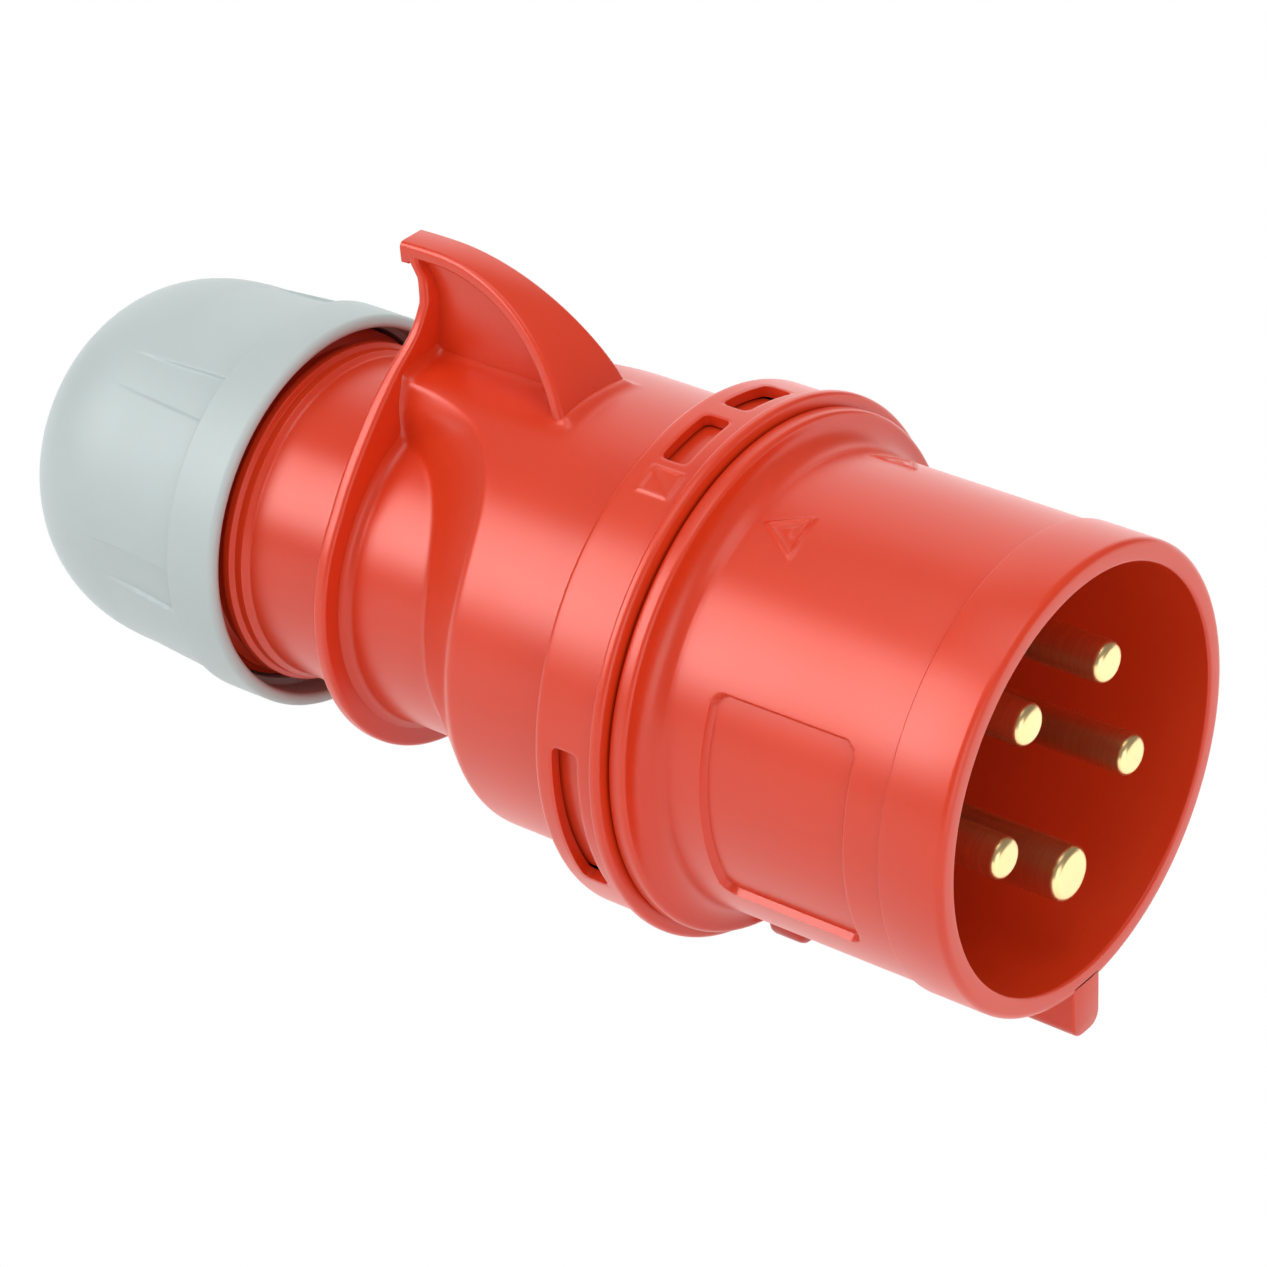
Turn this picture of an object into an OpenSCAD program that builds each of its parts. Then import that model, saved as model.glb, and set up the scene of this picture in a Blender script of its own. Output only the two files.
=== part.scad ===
// Pin and sleeve plug, three phases, neutral and earth, with a twist-locked handle and a cable gland.
// The plug's axis lies along X: the mouth faces +X, the fin stands up along +Z, and the key is underneath.
// The origin is on the axis, in the plane of the mouth's rim. Stations run backwards from that plane.

/* [Barrel] */
// Inner radius of the mouth
mouth_r = 30; // [29.5:0.1:31]
// Wall of the barrel
barrel_wall = 2.65; // [2:0.05:3.5]
// How far the band at the mouth stands proud of the barrel
mouth_band_rise = 0.55; // [0.2:0.05:1]
// Length of the band at the mouth
mouth_band_len = 9.8; // [6:0.1:14]
// Length of the barrel, from the rim to the flange
barrel_len = 48; // [46:0.5:54]
// Radius of the flange
flange_r = 37.3; // [36.8:0.1:38]
// Thickness of the flange
flange_t = 2.6; // [2:0.1:4]
// Radius of the fillet where the barrel meets the flange
flange_fillet = 3.2; // [1:0.1:4]
// Radius of the rounded edge of the rim
rim_round = 0.9; // [0.3:0.1:1.2]

/* [Key] */
// Width of the key under the barrel
key_w = 6.2; // [5:0.1:8]
// Distance from the axis to the bottom of the key
key_reach = 40.4; // [39.8:0.1:42]
// Width of the foot where the key meets the flange
foot_w = 14; // [12:0.5:18]
// Length of the foot in front of the flange
foot_len = 5.5; // [4:0.5:8]

/* [Rating panel] */
// Depth of the recessed blank panel
panel_depth = 0.8; // [0.3:0.1:1.2]
// Length of the panel along the barrel
panel_len = 22; // [15:0.5:25]
// Station of the panel's front edge
panel_from = 16.5; // [15:0.5:20]
// Angle that the panel covers
panel_deg = 56; // [40:1:65]
// Angle of the panel's middle, from the top of the plug
panel_at = 90; // [80:1:100]

/* [Twist lock] */
// Length of the spigot behind the flange
spigot_len = 10.4; // [9.6:0.1:13]
// Wall of the spigot
spigot_wall = 3.3; // [2.5:0.1:3.6]
// Radial height of a lug
lug_h = 2.2; // [1.5:0.1:2.4]
// Thickness of a lug along the axis
lug_t = 3.4; // [2.5:0.1:4]
// Angle that a lug covers
lug_deg = 36; // [28:1:40]
// Thickness of a claw along the axis
claw_t = 3.4; // [2.5:0.1:4]
// Number of lugs and claws
lugs = 3; // [2:1:3]

/* [Contacts] */
// Radius of the circle on which the pins stand
pin_circle_r = 15.7; // [14.5:0.1:17]
// Radius of a phase or neutral pin
pin_r = 3; // [2.4:0.1:3.5]
// Radius of the earth pin
earth_r = 4; // [3.2:0.1:4.2]
// How far the pins stop behind the rim
pin_back = 2.1; // [1:0.1:4]
// Radius of the round on a pin's tip
tip_round = 1.2; // [0.6:0.1:2]
// Radius of a terminal barrel at the pin's rear
terminal_r = 5.2; // [4.8:0.1:6]
// Length of a terminal barrel
terminal_len = 15; // [13:0.5:18]
// How far a pin's shank in the carrier stands proud of the pin
shank_rise = 0.4; // [0.2:0.1:0.6]
// Radius of the wire hole in a terminal barrel
wire_hole_r = 2.8; // [2:0.1:3.2]
// Radius of a terminal screw's thread
screw_r = 2; // [1.5:0.1:2.2]

/* [Pin carrier] */
// Thickness of the carrier's disc
carrier_t = 6; // [5:0.5:9]
// Wall round each terminal barrel
tower_wall = 1.9; // [1.4:0.1:2.2]
// Thickness of the retaining plate behind the terminals
plate_t = 2.4; // [2:0.1:4]
// Radius of the retaining plate
plate_r = 22.5; // [22:0.5:25]

/* [Handle] */
// Outer radius of the band over the twist lock
band_r = 38; // [37.8:0.1:38.6]
// Wall of the band
band_wall = 1.6; // [1.2:0.1:1.6]
// Length of the band, with its lip
band_len = 11.7; // [11.5:0.1:14]
// How far the lip stands proud of the band
lip_rise = 1.1; // [0.5:0.1:1.5]
// Length of the lip
lip_len = 1.6; // [1:0.1:2.5]
// Outer radius of the grip body
body_r = 33.1; // [32.5:0.1:34.5]
// Wall of the grip body
body_wall = 2.8; // [2:0.1:3.5]
// Length of the grip body behind the band
body_len = 19.4; // [15:0.1:25]
// Length of the sloping shoulder behind the body
shoulder_len = 11; // [8:0.5:14]
// Radius of the waist
waist_r = 25; // [24:0.1:27]
// Length of the waist, from the shoulder to the guard
waist_len = 14.3; // [12:0.1:20]
// Radius of the guard
guard_r = 29.2; // [28.5:0.1:31]
// Thickness of the guard
guard_t = 2.3; // [1.6:0.1:3]
// Outer radius of the neck
neck_r = 24; // [23.6:0.1:24.4]
// Length of the smooth neck behind the guard
neck_len = 19.4; // [18:0.1:22]
// Radius over the neck's thread
thread_r = 26.6; // [26:0.1:26.8]
// Length of the threaded end of the neck
thread_len = 14; // [12:0.5:16]
// Inner radius of the waist and neck
bore_r = 21.4; // [20:0.1:21.8]

/* [Windows] */
// Length of a window along the axis
window_len = 4.2; // [3:0.1:5]
// Angle of the bridge between the two top windows
bridge_deg = 5; // [3:0.5:8]

/* [Fin] */
// Height of the fin's top above the axis
fin_top = 49.7; // [46:0.1:54]
// Radius of the fin's arched front plate
fin_arch_r = 28; // [24:0.5:32]
// Thickness of the arched plate
fin_plate_t = 1.9; // [1.4:0.1:2.6]
// Width of the fin at its tip
fin_tip_w = 5.2; // [4:0.1:8]
// Width of the fin at its base
fin_base_w = 14; // [10:0.5:18]
// Thickness of the web in the fin's middle
fin_web_t = 2.4; // [1.6:0.1:3.4]
// Width of the spine that carries the fin
spine_w = 18; // [14:0.5:20]
// Radius of the scoop's plan curve beside the spine
scoop_r = 20; // [15:0.5:20]

/* [Cable gland] */
// Outer radius of the nut's collar
collar_r = 29.6; // [29.3:0.1:31]
// Length of the nut's collar
collar_len = 8.6; // [6:0.1:12]
// How far the nut's body stands back from its collar
collar_step = 0.7; // [0.4:0.1:1]
// Length of the nut
nut_len = 46.1; // [45:0.1:50]
// Radius of the nut where its dome starts
dome_r = 27.7; // [27:0.1:28.4]
// Length of the nut's dome
dome_len = 22.6; // [19:0.1:24]
// Radius of the cable entry
entry_r = 12.5; // [11:0.5:13.5]
// Length of the cable entry's wall
entry_len = 7; // [5:0.5:9]
// Number of shallow flutes round the nut
flutes = 6; // [4:1:8]
// Angle that a flute covers at its wide end
flute_deg = 14; // [8:1:20]
// Depth of a flute
flute_depth = 0.5; // [0.2:0.1:0.8]
// Length of the cable seal
seal_len = 9.5; // [8:0.5:11]
// Lead-in at the mouth of the cable seal
seal_lead = 2; // [1:0.5:3]
// Radius of the hole in the cable seal
seal_hole_r = 10.5; // [9:0.5:12]
// Thickness of the pressure ring
ring_t = 3; // [2:0.5:4]
// Length of the clamp cage's plain ring
cage_ring_len = 8; // [6:0.5:10]
// Thickness of a clamp finger at its tip
finger_t = 2.6; // [1.6:0.2:3.4]
// Distance between the cable seal's ribs
rib_pitch = 3; // [2:0.5:4]
// Length of the clamp cage
cage_len = 20; // [16:0.5:21]
// Number of clamp fingers
fingers = 8; // [6:1:10]
// Width of the slots between the clamp fingers
slot_w = 3; // [2:0.1:4]

/* [Fits] */
// Gap between pieces that turn or slide on each other
run_gap = 0.35; // [0.3:0.05:0.5]
// Gap between pieces that are pushed together
seat_gap = 0.1; // [0.05:0.05:0.2]

/* [Hidden] */
CONTACTS = ["l1", "l2", "l3", "neutral", "earth"];

$fn = 96;
eps = 0.01;

RED = [0.87, 0.20, 0.13];
GREY = [0.74, 0.79, 0.78];
BRASS = [0.80, 0.66, 0.32];
STEEL = [0.70, 0.71, 0.72];
RUBBER = [0.12, 0.12, 0.13];
INSULATOR = [0.20, 0.20, 0.21];

// Barrel, flange and spigot
barrel_r = mouth_r + barrel_wall;
mouth_band_r = barrel_r + mouth_band_rise;
flange_back = barrel_len + flange_t;
seat_t = 2;                              // shoulder in the barrel that the carrier is pushed against
seat_rise = 2.2;                         // height of that shoulder
seat_at = barrel_len - seat_t;
band_inner_r = band_r - band_wall;
lug_r = band_inner_r - run_gap;
spigot_r = lug_r - lug_h;
socket_r = spigot_r - spigot_wall;       // bore behind the shoulder, which holds the carrier
seat_r = socket_r - seat_rise;
spigot_end = flange_back + spigot_len;
foot_at = barrel_len - foot_len;

// Handle
handle_from = flange_back + run_gap;
band_end = handle_from + band_len;
body_end = band_end + body_len;
waist_from = body_end + shoulder_len;
guard_from = waist_from + waist_len;
guard_end = guard_from + guard_t;
neck_end = guard_end + neck_len;
handle_end = neck_end + thread_len;
body_bore_r = body_r - body_wall;
seal_seat = spigot_end + 1.3;            // inner shoulder of the handle that carries the housing seal
pocket_r = bore_r + 1;                   // pocket in the neck's end for the cable seal
pocket_from = handle_end - seal_len - ring_t;

// Twist lock: the claws hang inside the band, the lugs stand on the spigot just behind them
claw_from = handle_from + 0.4;
claw_r = spigot_r + run_gap;
claw_end = claw_from + claw_t;
lug_from = claw_end + run_gap;
lug_pitch = lugs == 3 ? 102 : 180;
LUG_AT = [for (i = [0:lugs - 1]) i == 2 ? -lug_pitch : i * lug_pitch];
window_from = lug_from + 0.1;

// Contacts: the earth pin is straight under the axis, and the others follow every 72 degrees
pitch_deg = 72;
terminal_at = barrel_len + carrier_t + 2;
terminal_end = terminal_at + terminal_len;
screw_at = terminal_end - 7;
tower_r = terminal_r + tower_wall;
tower_end = terminal_end + 1;
hub_r = 7;
plate_screw_off = 3.6;
plate_screw_r = 1.4;

// Cable gland
nut_from = neck_end - 0.8;
collar_end = nut_from + collar_len;
nut_body_r = collar_r - collar_step;
nut_end = nut_from + nut_len;
dome_at = nut_end - dome_len;
dome_stop = 73;
dome_cut = pow(cos(dome_stop), 0.83);
nut_thread_r = thread_r + run_gap;
nut_mouth_r = nut_thread_r + 0.8;
nut_mouth_len = 5;
nut_thread_end = handle_end + 3;
entry_at = nut_end - entry_len;
cage_r = nut_thread_r - 2.3;
ring_at = pocket_from + seal_len + seat_gap;
ring_end = handle_end + seat_gap;
cage_at = ring_end + seat_gap;
cage_base_t = 4;
cage_cone_at = cage_at + cage_ring_len;
cage_end = cage_at + cage_len;
cage_inner_r = entry_r + 0.8;
cone_at = cage_cone_at + 0.6;            // where the nut's inner cone starts

// Points [station, radius] of a quarter round about a centre, from angle a to angle b
function quarter(s, r, rad, a, b, n = 5) =
    [for (i = [0:n]) [s + rad * cos(a + (b - a) * i / n), r + rad * sin(a + (b - a) * i / n)]];

// A solid of revolution about the plug's axis, from points [station, radius]
module turned(points) {
    rotate([0, 90, 0])
        rotate_extrude()
            polygon([for (p = points) [p[1], -p[0]]]);
}

// A ring between two stations and two radii
module ring(from, to, inner, outer) {
    turned([[from, inner], [from, outer], [to, outer], [to, inner]]);
}

// A solid cylinder between two stations
module rod(from, to, r) {
    translate([-to, 0, 0])
        rotate([0, 90, 0])
            cylinder(h = to - from, r = r);
}

// Turns its child from the top of the plug towards -Y
module at_angle(a) {
    rotate([a, 0, 0])
        children();
}

// A wedge about the axis, centred on the top, from one station to another
module wedge(from, to, deg, reach) {
    half = deg / 2;
    far = reach / cos(half);
    translate([-to, 0, 0])
        rotate([90, 0, 90])
            linear_extrude(to - from)
                polygon([[0, 0], [far * sin(half), far * cos(half)],
                    [0, reach * 1.3], [-far * sin(half), far * cos(half)]]);
}

// Places its child on the axis of contact k, counted from the earth pin
module on_contact(k) {
    a = k * pitch_deg;
    translate([0, pin_circle_r * sin(a), -pin_circle_r * cos(a)])
        rotate([a, 0, 0])
            children();
}

module shroud() {
    color(RED)
    difference() {
        union() {
            turned(concat(
                [[seat_at, seat_r], [seat_at, mouth_r], [0.5, mouth_r], [0, mouth_r + 0.5]],
                quarter(rim_round, mouth_band_r - rim_round, rim_round, 180, 90),
                [[mouth_band_len - mouth_band_rise, mouth_band_r], [mouth_band_len, barrel_r]],
                quarter(barrel_len - flange_fillet, barrel_r + flange_fillet, flange_fillet, -90, 0),
                quarter(barrel_len + 0.6, flange_r - 0.6, 0.6, 180, 90),
                [[flange_back, flange_r], [flange_back, spigot_r], [spigot_end, spigot_r],
                    [spigot_end, socket_r], [barrel_len, socket_r], [barrel_len, seat_r]]));
            key();
            for (a = LUG_AT)
                at_angle(a)
                    intersection() {
                        ring(lug_from, lug_from + lug_t, spigot_r - 0.5, lug_r);
                        wedge(lug_from - 1, lug_from + lug_t + 1, lug_deg, lug_r);
                    }
        }
        at_angle(panel_at)
            panel_cut();
    }
}

// Key rib under the barrel, and the foot that ties it to the flange
module key() {
    root_r = mouth_r + 1;
    translate([-barrel_len - eps, -key_w / 2, -key_reach + key_w / 2])
        cube([barrel_len + eps, key_w, key_reach - key_w / 2 - root_r]);
    intersection() {
        translate([-barrel_len, 0, -key_reach + key_w / 2])
            rotate([0, 90, 0])
                cylinder(h = barrel_len, r = key_w / 2);
        translate([-barrel_len, -key_w, -key_reach])
            cube([barrel_len, 2 * key_w, key_w]);
    }
    foot();
}

module foot() {
    corner = 2.5;
    span = foot_w / 2 - corner;
    difference() {
        translate([-barrel_len - eps, 0, 0])
            rotate([90, 0, 90])
                linear_extrude(foot_len)
                    polygon(concat(
                        [[foot_w / 2, -mouth_r * 0.85], [-foot_w / 2, -mouth_r * 0.85]],
                        [for (i = [0:4]) [-span - corner * cos(i * 22.5),
                            -key_reach + corner - corner * sin(i * 22.5)]],
                        [for (i = [0:4]) [span + corner * sin(i * 22.5),
                            -key_reach + corner - corner * cos(i * 22.5)]]));
        rod(foot_at - 1, barrel_len + 1, mouth_r + 1);
    }
}

// Shallow pocket with rounded corners, cut into the barrel's wall
module panel_cut() {
    corner = 4;
    half = barrel_r * sin(panel_deg / 2);
    intersection() {
        ring(panel_from - 1, panel_from + panel_len + 1, barrel_r - panel_depth, barrel_r + 3);
        translate([0, 0, barrel_r * 0.6])
            linear_extrude(barrel_r)
                hull()
                    for (s = [panel_from + corner, panel_from + panel_len - corner])
                        for (y = [-half + corner, half - corner])
                            translate([-s, y])
                                circle(r = corner);
    }
}

module pin_carrier() {
    color(INSULATOR)
    difference() {
        union() {
            ring(barrel_len + seat_gap, barrel_len + carrier_t, 0, socket_r - seat_gap);
            rod(barrel_len + carrier_t - eps, tower_end, hub_r);
            for (k = [0:4])
                on_contact(k)
                    rod(barrel_len + carrier_t - eps, tower_end, tower_r);
        }
        for (k = [0:4])
            on_contact(k) {
                rod(barrel_len - 1, terminal_at + 1, pin_radius(k) + shank_rise + seat_gap);
                rod(terminal_at - seat_gap, tower_end + 1, terminal_r + seat_gap);
                screw_hole(screw_r + 1.6);
            }
        for (side = [-1, 1])
            translate([0, 0, side * plate_screw_off])
                rod(tower_end - 8, tower_end + 1, plate_screw_r + seat_gap);
    }
}

// Radial hole on the outer side of a terminal
module screw_hole(r) {
    translate([-screw_at, 0, -tower_r - 1])
        cylinder(h = tower_r + 1, r = r);
}

function pin_radius(k) = k == 0 ? earth_r : pin_r;

module pin(k) {
    r = pin_radius(k);
    color(BRASS)
    on_contact(k)
        difference() {
            turned(concat(
                [[terminal_end, 0], [pin_back, 0]],
                quarter(pin_back + tip_round, r - tip_round, tip_round, 180, 90),
                [[barrel_len - 0.2, r], [barrel_len - 0.2, r + shank_rise], [terminal_at, r + shank_rise],
                    [terminal_at, terminal_r], [terminal_end, terminal_r]]));
            rod(terminal_end - 11, terminal_end + 1, wire_hole_r);
            translate([-screw_at, 0, -terminal_r - 1])
                cylinder(h = terminal_r + 1, r = screw_r + seat_gap);
        }
}

module terminal_screw(k) {
    length = terminal_r - wire_hole_r + 1.4;
    color(STEEL)
    on_contact(k)
        translate([-screw_at, 0, -terminal_r - 0.2])
            difference() {
                union() {
                    cylinder(h = length, r = screw_r);
                    translate([0, 0, -1])
                        cylinder(h = 1, r = screw_r + 1.2);
                }
                translate([-5, -0.4, -2])
                    cube([10, 0.8, 1.6]);
            }
}

module retaining_plate() {
    color(INSULATOR)
    difference() {
        rod(tower_end + seat_gap, tower_end + plate_t, plate_r);
        for (k = [0:4])
            on_contact(k)
                rod(tower_end - 1, tower_end + plate_t + 1, wire_hole_r + 0.8);
        for (side = [-1, 1])
            translate([0, 0, side * plate_screw_off])
                rod(tower_end - 1, tower_end + plate_t + 1, plate_screw_r + seat_gap);
    }
}

module plate_screw(side) {
    head_at = tower_end + plate_t + seat_gap;
    color(STEEL)
    translate([0, 0, side * plate_screw_off])
        difference() {
            union() {
                rod(tower_end - 7, head_at + eps, plate_screw_r);
                rod(head_at, head_at + 1.6, plate_screw_r + 1.3);
            }
            translate([-head_at - 2.6, -3, -0.35])
                cube([2, 6, 0.7]);
        }
}

module housing_seal() {
    color(RUBBER)
    ring(spigot_end + seat_gap, seal_seat - seat_gap, spigot_r - spigot_wall + 0.3, band_inner_r - 0.3);
}

module handle() {
    color(RED)
    difference() {
        union() {
            handle_shell();
            claws();
            spine();
            fin();
            guard_crest();
        }
        handle_bore();
        windows();
    }
}

// Outside of the handle, turned about the axis
module handle_shell() {
    turned(concat(
        [[handle_from, 0], [handle_from, band_r + lip_rise - 0.7]],
        quarter(handle_from + 0.7, band_r + lip_rise - 0.7, 0.7, 180, 90),
        [[handle_from + lip_len - 0.4, band_r + lip_rise], [handle_from + lip_len + 0.4, band_r]],
        quarter(band_end - 0.8, band_r - 0.8, 0.8, 90, 0),
        quarter(band_end + 1, body_r + 1, 1, 180, 270),
        quarter(body_end - 0.6, body_r - 0.8, 0.8, 90, 36),
        [[waist_from, waist_r], [guard_from - 0.6, waist_r], [guard_from, waist_r + 0.6]],
        quarter(guard_from + 0.7, guard_r - 0.7, 0.7, 180, 90),
        quarter(guard_end - 0.7, guard_r - 0.7, 0.7, 90, 0),
        [[guard_end, neck_r], [neck_end - 1.6, neck_r], [neck_end - 1.2, neck_r + 0.7],
            [neck_end, neck_r + 0.7], [neck_end + 1.5, thread_r], [handle_end - 1, thread_r],
            [handle_end, thread_r - 1], [handle_end, 0]]));
}

module handle_bore() {
    taper_end = waist_from - 1;
    turned([[handle_from - 1, 0], [handle_from - 1, claw_r], [claw_end, claw_r],
        [claw_end, band_inner_r], [seal_seat, band_inner_r], [seal_seat, body_bore_r],
        [body_end - 2, body_bore_r], [taper_end, bore_r], [pocket_from, bore_r],
        [pocket_from, pocket_r], [handle_end + 1, pocket_r], [handle_end + 1, 0]]);
    difference() {
        ring(handle_from - 1, claw_end + eps, claw_r - 1, band_inner_r);
        for (a = LUG_AT)
            at_angle(a)
                wedge(handle_from - 2, claw_end + 1, lug_deg, band_r);
    }
}

// Claws that the lugs turn behind: only their pads are left inside the band
module claws() {
    for (a = LUG_AT)
        at_angle(a)
            intersection() {
                ring(claw_from, claw_end, claw_r, band_r - 0.5);
                wedge(claw_from - 1, claw_end + 1, lug_deg, band_r);
            }
}

// Windows through the band over the claws, with a bridge across the top one
module windows() {
    for (a = LUG_AT)
        at_angle(a)
            difference() {
                intersection() {
                    ring(window_from, window_from + window_len, band_inner_r - 0.5, band_r + 2);
                    wedge(window_from - 1, window_from + window_len + 1, lug_deg, band_r + 2);
                }
                if (a == 0)
                    wedge(window_from - 1, window_from + window_len + 1, bridge_deg, band_r + 3);
            }
}

// Spine along the top of the waist: a straight rib, and a sloping scoop wall on each side in front
module spine() {
    intersection() {
        rod(body_end - 2, guard_end - 0.2, body_r - 0.06);
        union() {
            translate([-guard_end, -spine_w / 2, 0])
                cube([guard_end - body_end + 2, spine_w, body_r + 1]);
            scoop_wall();
            mirror([0, 1, 0])
                scoop_wall();
        }
    }
}

// The scoop's upper edge is an arc in plan, and its wall slopes inward and back along one line
scoop_lean = 35;
scoop_drop = body_r - waist_r;
scoop_in_y = scoop_drop * sin(scoop_lean);
scoop_in_z = scoop_drop * cos(scoop_lean);
scoop_turn = atan2(scoop_in_y, shoulder_len);
scoop_tilt = atan2(norm([shoulder_len, scoop_in_y]), scoop_in_z);

// A point [x, y, z] seen along the wall's slope
function along_slope(p) =
    let (u = p[0] * cos(scoop_turn) + p[1] * sin(scoop_turn))
    [u * cos(scoop_tilt) - p[2] * sin(scoop_tilt), -p[0] * sin(scoop_turn) + p[1] * cos(scoop_turn)];

// A point of the scoop's upper edge, on the body's surface
function scoop_edge(a) =
    let (y = spine_w / 2 + scoop_r * (1 - cos(a)))
    [-body_end - scoop_r * (1 - sin(a)), y, sqrt(body_r * body_r - y * y)];

module scoop_wall() {
    edge = [for (i = [0:14]) scoop_edge(i * 90 / 14)];
    last = edge[14];
    front = -body_end + 6;
    rotate([0, scoop_tilt, scoop_turn])
        translate([0, 0, -82])
            linear_extrude(44)
                polygon([for (p = concat(edge, [[front, last[1], last[2]], [front, 0, body_r],
                    [-body_end - scoop_r, 0, body_r]])) along_slope(p)]);
}

// Guard plate drawn up from the disc into the fin
module guard_crest() {
    neck_z = fin_top - 9;
    half = fin_tip_w / 2;
    translate([-guard_end, 0, 0])
        rotate([90, 0, 90])
            linear_extrude(guard_t)
                polygon([[-20, guard_r * 0.7], [-12, 29.4], [-6.8, 34.4], [-half - 1.1, 37.6],
                    [-half, neck_z], [-half, fin_top - 4], [half, fin_top - 4], [half, neck_z],
                    [half + 1.1, 37.6], [6.8, 34.4], [12, 29.4], [20, guard_r * 0.7]]);
}

// Side view of the fin, in station and height, above the body
fin_centre_s = 106;
fin_centre_z = fin_top - fin_arch_r;
fin_tip_s = 111.8;

module fin() {
    intersection() {
        fin_side(fin_base_w + 2)
            difference() {
                fin_outline(0);
                fin_outline(fin_plate_t);
            }
        fin_plan();
    }
    fin_side(fin_web_t)
        fin_outline(0.3);
}

// Extrudes a side view, centred across the plug
module fin_side(width) {
    translate([0, width / 2, 0])
        rotate([90, 0, 0])
            linear_extrude(width)
                children();
}

// Side outline of the fin, set in by a given distance at its front, top and tip
module fin_outline(inset) {
    r = fin_arch_r - inset;
    base_z = body_r - 3;
    base_a = asin((base_z - fin_centre_z) / r);
    arc_n = 12;
    polygon(concat(
        [for (i = [0:arc_n]) let (a = base_a + (91 - base_a) * i / arc_n)
            [-fin_centre_s + r * cos(a), fin_centre_z + r * sin(a)]],
        [[-fin_tip_s + inset, fin_top - 0.4 - inset], [-fin_tip_s + inset, fin_top - 3.2 - inset * 0.4],
            [-guard_end - 0.6 + inset, fin_top - 5.5], [-guard_end + inset, fin_top - 9],
            [-guard_end + inset, base_z]]));
}

// Plan of the fin: narrow at the tip, flared where it meets the body
module fin_plan() {
    half_tip = fin_tip_w / 2;
    half_base = fin_base_w / 2;
    flare = 17;
    front_s = fin_centre_s - fin_arch_r;
    flare_n = 8;
    side = [for (i = [0:flare_n]) let (t = i / flare_n)
        [-front_s - flare + flare * t, half_tip + (half_base - half_tip) * pow(t, 1.8)]];
    linear_extrude(fin_top + 5)
        polygon(concat([[-fin_tip_s - 2, half_tip]], side, [[-front_s + 3, half_base]],
            [[-front_s + 3, -half_base]],
            [for (i = [flare_n:-1:0]) [side[i][0], -side[i][1]]],
            [[-fin_tip_s - 2, -half_tip]]));
}

module cable_seal() {
    groove = 1.2;
    color(RUBBER)
    difference() {
        turned(concat([[pocket_from + seat_gap, seal_hole_r + 1], [pocket_from + seat_gap, pocket_r - seat_gap]],
            [[pocket_from + seal_len, pocket_r - seat_gap], [pocket_from + seal_len, seal_hole_r + 2 * seal_lead],
                [pocket_from + seal_len - seal_lead, seal_hole_r], [pocket_from + 1, seal_hole_r]]));
        for (i = [0:1])
            ring(pocket_from + rib_pitch * (1 + i), pocket_from + rib_pitch * (1 + i) + groove,
                pocket_r - 1.5, pocket_r + 1);
    }
}

module pressure_ring() {
    color(INSULATOR)
    turned([[ring_at, cage_inner_r + 1], [ring_at, pocket_r - 0.3], [ring_end - 0.6, pocket_r - 0.3],
        [ring_end, pocket_r - 0.9], [ring_end, cage_inner_r], [ring_at + 1, cage_inner_r]]);
}

// Ring with fingers that the nut's cone closes on the cable
module clamp_cage() {
    tip_r = cage_inner_r + finger_t;
    color(GREY)
    difference() {
        turned([[cage_at, cage_inner_r + 1.2], [cage_at, cage_r], [cage_cone_at, cage_r],
            [cage_end, tip_r + 1], [cage_end, cage_inner_r], [cage_cone_at - 1, cage_inner_r + 1.2]]);
        for (i = [0:fingers - 1])
            rotate([i * 360 / fingers, 0, 0])
                translate([-cage_end - 1, -slot_w / 2, cage_inner_r - 3])
                    cube([cage_end + 1 - cage_at - cage_base_t, slot_w, cage_r]);
    }
}

module gland_nut() {
    color(GREY)
    difference() {
        turned(concat(
            [[nut_from, 0]],
            quarter(nut_from + 0.8, collar_r - 0.8, 0.8, 180, 90),
            [[collar_end - 0.3, collar_r], [collar_end + 0.3, nut_body_r], [dome_at, dome_r]],
            [for (i = [1:11]) let (a = i * dome_stop / 12)
                [dome_at + dome_len * pow(sin(a) / sin(dome_stop), 0.83),
                    entry_r + 1 + (dome_r - entry_r - 1) * (pow(cos(a), 0.83) - dome_cut) / (1 - dome_cut)]],
            [[nut_end, entry_r + 1], [nut_end, 0]]));
        nut_bore();
        for (i = [0:flutes - 1])
            rotate([35 + i * 360 / flutes, 0, 0])
                flute();
    }
}

module nut_bore() {
    turned([[nut_from - 1, 0], [nut_from - 1, nut_mouth_r + 1.6], [nut_from + 0.6, nut_mouth_r],
        [nut_from + nut_mouth_len, nut_mouth_r], [nut_from + nut_mouth_len + 0.8, nut_thread_r],
        [nut_thread_end, nut_thread_r], [nut_thread_end, cage_r + run_gap],
        [cone_at, cage_r + run_gap], [entry_at, entry_r + 4.2], [entry_at, entry_r],
        [nut_end - 0.8, entry_r], [nut_end + 0.1, entry_r + 0.9], [nut_end + 0.1, 0]]);
}

// Tapered shallow cut behind the collar, coming to a point on the dome
module flute() {
    half = nut_body_r * sin(flute_deg / 2);
    length = dome_at - collar_end + 2;
    depth_r = nut_body_r - flute_depth;
    difference() {
        translate([0, 0, nut_body_r * 0.7])
            linear_extrude(nut_body_r)
                polygon([[-collar_end - 0.3, half], [-collar_end - 0.3, -half],
                    [-collar_end - length, -0.6], [-collar_end - length, 0.6]]);
        turned([[collar_end - 1, 0], [collar_end - 1, depth_r], [dome_at, dome_r - flute_depth],
            [dome_at + 4, dome_r - 0.1], [dome_at + 4, 0]]);
    }
}

shroud();
pin_carrier();
retaining_plate();
plate_screw(1);  // plate_screw_upper
plate_screw(-1);  // plate_screw_lower
for (k = [0:4])
    pin(k);
for (k = [0:4])
    terminal_screw(k);
housing_seal();
handle();
cable_seal();
pressure_ring();
clamp_cage();
gland_nut();
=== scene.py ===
import math
import bpy
import numpy as np
from mathutils import Matrix, Vector


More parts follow.
